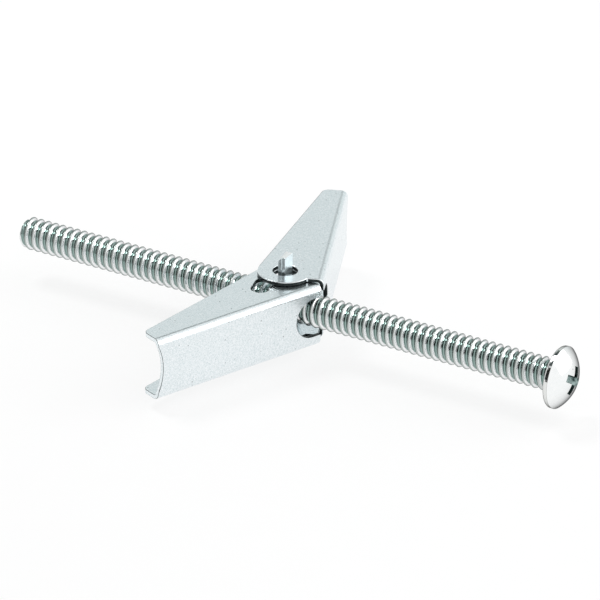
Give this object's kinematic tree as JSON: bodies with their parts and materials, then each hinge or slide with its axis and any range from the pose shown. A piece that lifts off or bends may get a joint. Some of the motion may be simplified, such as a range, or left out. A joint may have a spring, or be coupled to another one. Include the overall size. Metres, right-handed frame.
{
  "type": "spring toggle bolt",
  "caption": "Spring toggle bolt: round-head machine screw with a folding pair of sprung channel wings on a nut, which opens behind a hollow wall and clamps a fixture to it.",
  "frame": {"origin": "centre of the bearing face under the screw's head, on the screw's axis", "axes": "+X along the screw out of its head, so the thread runs to -X; +Z along the wings' pivot axis; the wings open towards -Y and +Y"},
  "size_m": [0.0781, 0.0474, 0.0126],
  "materials": {
    "screw_zinc": "bright zinc plating, near mirror-like",
    "wing_zinc": "bright zinc plating on pressed sheet, satin",
    "nut_zinc": "bright zinc plating on pressed sheet, satin",
    "spring_steel": "bright drawn wire"
  },
  "bodies": {
    "screw": {"machine_screw": "screw_zinc"},
    "nut": {"trunnion_nut": "nut_zinc", "torsion_spring": "spring_steel"},
    "wing_left": {"wing_left": "wing_zinc"},
    "wing_right": {"wing_right": "wing_zinc"}
  },
  "joints": [
    {"name": "nut_travel", "type": "slide", "parent": "screw", "child": "nut", "axis": [1, 0, 0], "range_m": [-0.0363, 0.0324]},
    {"name": "wing_left_pivot", "type": "hinge", "parent": "nut", "child": "wing_left", "pos_m": [-0.0381, 0, 0], "axis": [0, 0, -1], "range_deg": [0, 67], "stiffness_Nm_per_rad": 0.02, "springref_deg": -28.65, "deforming": ["torsion_spring"]},
    {"name": "wing_right_pivot", "type": "hinge", "parent": "nut", "child": "wing_right", "pos_m": [-0.0381, 0, 0], "axis": [0, 0, 1], "range_deg": [0, 67], "stiffness_Nm_per_rad": 0.02, "springref_deg": -28.65, "deforming": ["torsion_spring"]}
  ]
}
